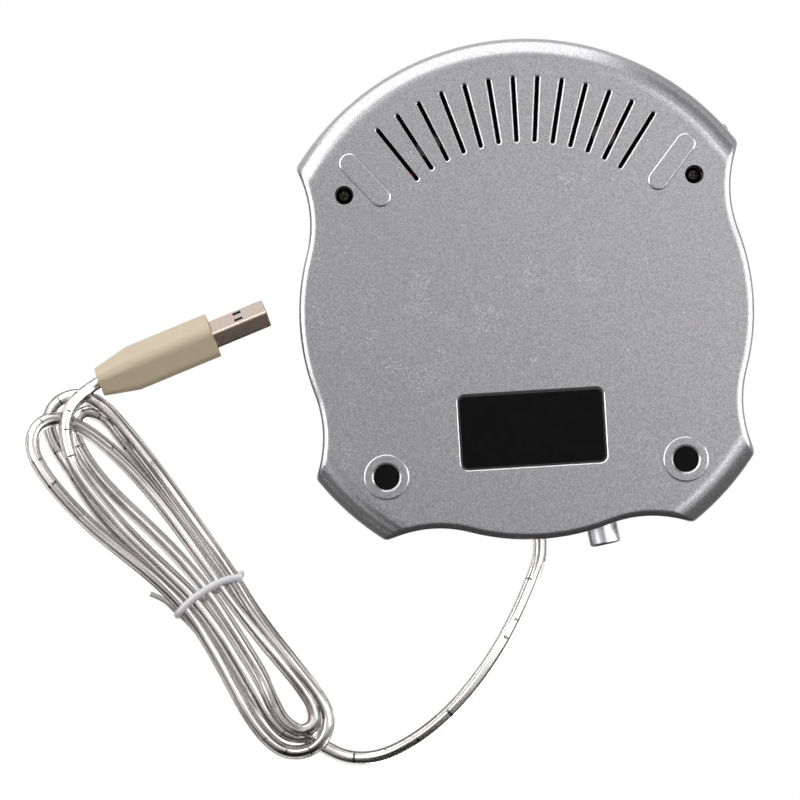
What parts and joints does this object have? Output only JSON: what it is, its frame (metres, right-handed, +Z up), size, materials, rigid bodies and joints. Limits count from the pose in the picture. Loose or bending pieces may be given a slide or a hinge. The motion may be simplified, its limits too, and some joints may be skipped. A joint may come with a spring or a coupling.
{
  "type": "electric mug warmer",
  "caption": "Flat desk cup warmer with a round heating plate, a wavy silver case, front sockets, a rear button and a tied lead.",
  "frame": {"origin": "middle of the box round the case and its button, on the plane that the feet stand on", "axes": "+Z up through the heating plate, -Y towards the front with the sockets, +Y towards the rear wall where the lead and the button are, +X to the right seen from the front's opposite side, from above"},
  "size_m": [0.1955, 0.1918, 0.0316],
  "materials": {
    "silver_paint": "satin",
    "plate_aluminium": "brushed",
    "label_black": "gloss",
    "foot_rubber": "matt",
    "screw_steel": "zinc plated",
    "sheet_steel": "bare",
    "heater_mat": "matt",
    "felt": "matt",
    "cutout_body": "matt",
    "tinned_wire": "bright",
    "red_wire": "satin",
    "core_wire": "satin",
    "board_green": "satin",
    "chip_black": "matt",
    "socket_steel": "bright",
    "socket_plastic": "matt",
    "contact_gold": "bright",
    "led_red": "gloss",
    "button_chrome": "bright",
    "switch_black": "matt",
    "spring_steel": "bright",
    "cord_clear": "gloss",
    "tie_white": "satin",
    "plug_beige": "satin"
  },
  "bodies": {
    "housing": {"board_screws": "screw_steel", "bottom_cover": "silver_paint", "cable_clamp": "switch_black", "cable_clamp_screws": "screw_steel", "cable_grommet": "foot_rubber", "cable_header": "socket_plastic", "cable_jacket_end": "cord_clear", "capacitors": "chip_black", "case_screws": "screw_steel", "chip_resistors": "chip_black", "cord_hank": "cord_clear", "cord_lead": "cord_clear", "cord_tail": "cord_clear", "cord_tie": "tie_white", "crystal_can": "tinned_wire", "cutout_leads": "tinned_wire", "heater_clamp": "sheet_steel", "heater_clamp_screws": "screw_steel", "heater_element": "heater_mat", "heater_wires": "red_wire", "heating_plate": "plate_aluminium", "hub_board": "board_green", "hub_chip": "chip_black", "inner_leads": "core_wire", "insulation_disc": "felt", "label_plate": "label_black", "led_leads": "tinned_wire", "led_lens": "led_red", "plate_trim_ring": "silver_paint", "plug_contacts": "contact_gold", "plug_insulator": "socket_plastic", "plug_overmould": "plug_beige", "plug_shell": "socket_steel", "rear_foot_plugs": "foot_rubber", "socket_contacts": "contact_gold", "socket_shell_1": "socket_steel", "socket_shell_2": "socket_steel", "socket_shell_3": "socket_steel", "socket_shell_4": "socket_steel", "socket_tongue_1": "socket_plastic", "socket_tongue_2": "socket_plastic", "socket_tongue_3": "socket_plastic", "socket_tongue_4": "socket_plastic", "switch_board": "board_green", "switch_board_screws": "screw_steel", "switch_housing": "switch_black", "switch_pins": "tinned_wire", "switch_spring": "spring_steel", "switch_wires": "core_wire", "thermal_cutout": "cutout_body", "top_cover": "silver_paint"},
    "button": {"button_cap": "button_chrome", "switch_plunger": "switch_black"}
  },
  "joints": [
    {"name": "button_press", "type": "slide", "parent": "housing", "child": "button", "axis": [-0.1564, -0.9877, 0], "range_m": [0, 0.0025], "stiffness_N_per_m": 400, "deforming": ["switch_spring"]}
  ]
}
